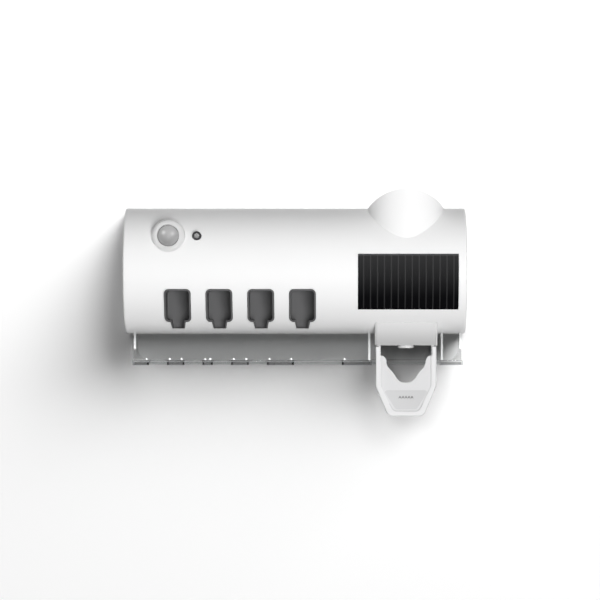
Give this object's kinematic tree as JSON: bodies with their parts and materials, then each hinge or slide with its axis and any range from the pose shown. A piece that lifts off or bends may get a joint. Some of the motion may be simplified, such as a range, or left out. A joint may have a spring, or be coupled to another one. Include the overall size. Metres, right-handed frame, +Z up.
{
  "type": "uv toothbrush holder",
  "caption": "Wall-mounted half-round steriliser bar with brush bays, motion sensor, solar panel, push-lever paste dispenser and a clear notched rack below.",
  "frame": {"origin": "middle of the adhesive sheet's rear face, on the wall", "axes": "+X to the right as the user faces the front, along the housing; +Y into the wall; +Z up"},
  "size_m": [0.331, 0.0897, 0.2194],
  "materials": {
    "cover_white": "glossy white moulded ABS",
    "inner_white": "satin white moulded plastic",
    "milky_plastic": "milky, slightly see-through plastic",
    "bay_grey": "soft dark grey plastic",
    "clear_acrylic": "clear polished acrylic",
    "solar_film": "black thin-film solar cells under a clear coat",
    "frosted_lens": "frosted grey sensor dome",
    "clear_lens": "clear indicator lens",
    "dark_bezel": "dark grey plastic",
    "metal": "bright nickel-plated steel",
    "circuit_board": "green glass-fibre board",
    "lamp_case": "white ceramic lamp package",
    "silicone": "soft grey silicone",
    "foam_tape": "double-sided foam tape",
    "cell_wrap": "plain blue shrink wrap"
  },
  "bodies": {
    "bracket": {"adhesive_sheet": "foam_tape", "wall_bracket": "inner_white"},
    "housing": {"back_plate": "inner_white", "battery_cell": "cell_wrap", "battery_cradle": "inner_white", "brush_bay_1": "bay_grey", "brush_bay_2": "bay_grey", "brush_bay_3": "bay_grey", "brush_bay_4": "bay_grey", "charging_port": "metal", "check_valve": "silicone", "eye_lens": "frosted_lens", "feed_channel": "inner_white", "feed_socket": "inner_white", "front_cover": "cover_white", "indicator_bezel": "dark_bezel", "indicator_lens": "clear_lens", "key_switch": "dark_bezel", "lever_spring": "metal", "main_board": "circuit_board", "motion_sensor": "metal", "mouth_seal": "silicone", "nozzle": "cover_white", "pivot_pin": "metal", "plate_screw_1": "metal", "plate_screw_2": "metal", "plate_screw_3": "metal", "plate_screw_4": "metal", "plate_screw_5": "metal", "plate_screw_6": "metal", "plate_screw_7": "metal", "plate_screw_8": "metal", "sensor_board": "circuit_board", "solar_panel": "solar_film", "uv_lamp_1": "lamp_case", "uv_lamp_2": "lamp_case", "uv_lamp_3": "lamp_case", "uv_lamp_4": "lamp_case", "uv_strip": "circuit_board", "wall_bumper_1": "silicone", "wall_bumper_2": "silicone"},
    "lever": {"push_lever": "milky_plastic"},
    "plunger": {"plunger": "inner_white"},
    "key": {"power_key": "bay_grey"},
    "rack": {"storage_rack": "clear_acrylic"}
  },
  "joints": [
    {"name": "lift_off", "type": "slide", "parent": "bracket", "child": "housing", "axis": [0, 0, 1], "range_m": [0, 0.0085]},
    {"name": "lever_press", "type": "hinge", "parent": "housing", "child": "lever", "pos_m": [0.107, -0.0522, -0.051], "axis": [1, 0, 0], "range_deg": [0, 16], "stiffness_Nm_per_rad": 0.6, "springref_deg": -11.46, "deforming": ["lever_spring"]},
    {"name": "plunger_push", "type": "slide", "parent": "housing", "child": "plunger", "axis": [0, 1, 0], "range_m": [0, 0.003]},
    {"name": "key_press", "type": "slide", "parent": "housing", "child": "key", "axis": [1, 0, 0], "range_m": [0, 0.0008], "stiffness_N_per_m": 500, "springref_m": -0.001},
    {"name": "rack_release", "type": "slide", "parent": "housing", "child": "rack", "axis": [0, 0, -1], "range_m": [0, 0.014]}
  ],
  "couplings": [
    {"joint": "plunger_push", "follows": "lever_press", "m_per_rad": 0.0101}
  ]
}
